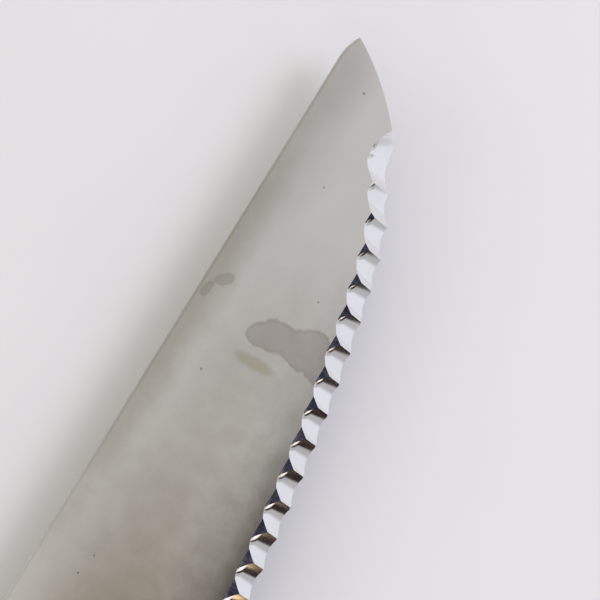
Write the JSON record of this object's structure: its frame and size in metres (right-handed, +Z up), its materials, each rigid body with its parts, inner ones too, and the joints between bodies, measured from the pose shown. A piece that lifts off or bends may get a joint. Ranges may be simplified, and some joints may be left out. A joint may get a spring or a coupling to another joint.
{
  "type": "steak knife",
  "caption": "Serrated steak knife with a pointed blade ground on one face, a full tang, steel bolsters and riveted wooden handle scales.",
  "frame": {"origin": "centre of the knife's footprint, on the surface that it lies on", "axes": "+X towards the tip, +Y towards the spine, +Z up, square to the blade's flat face"},
  "size_m": [0.23, 0.0226, 0.0132],
  "materials": {
    "blade_steel": "satin flat faces with polished flutes",
    "bolster_steel": "polished",
    "rivet_steel": "polished",
    "handle_wood": "oiled dark hardwood"
  },
  "bodies": {
    "root": {"blade": "blade_steel", "bolster_upper": "bolster_steel", "bolster_lower": "bolster_steel", "bolster_pin_front": "bolster_steel", "bolster_pin_rear": "bolster_steel", "scale_upper": "handle_wood", "scale_lower": "handle_wood", "rivet_front_male": "rivet_steel", "rivet_front_female": "rivet_steel", "rivet_middle_male": "rivet_steel", "rivet_middle_female": "rivet_steel", "rivet_rear_male": "rivet_steel", "rivet_rear_female": "rivet_steel"}
  },
  "joints": []
}
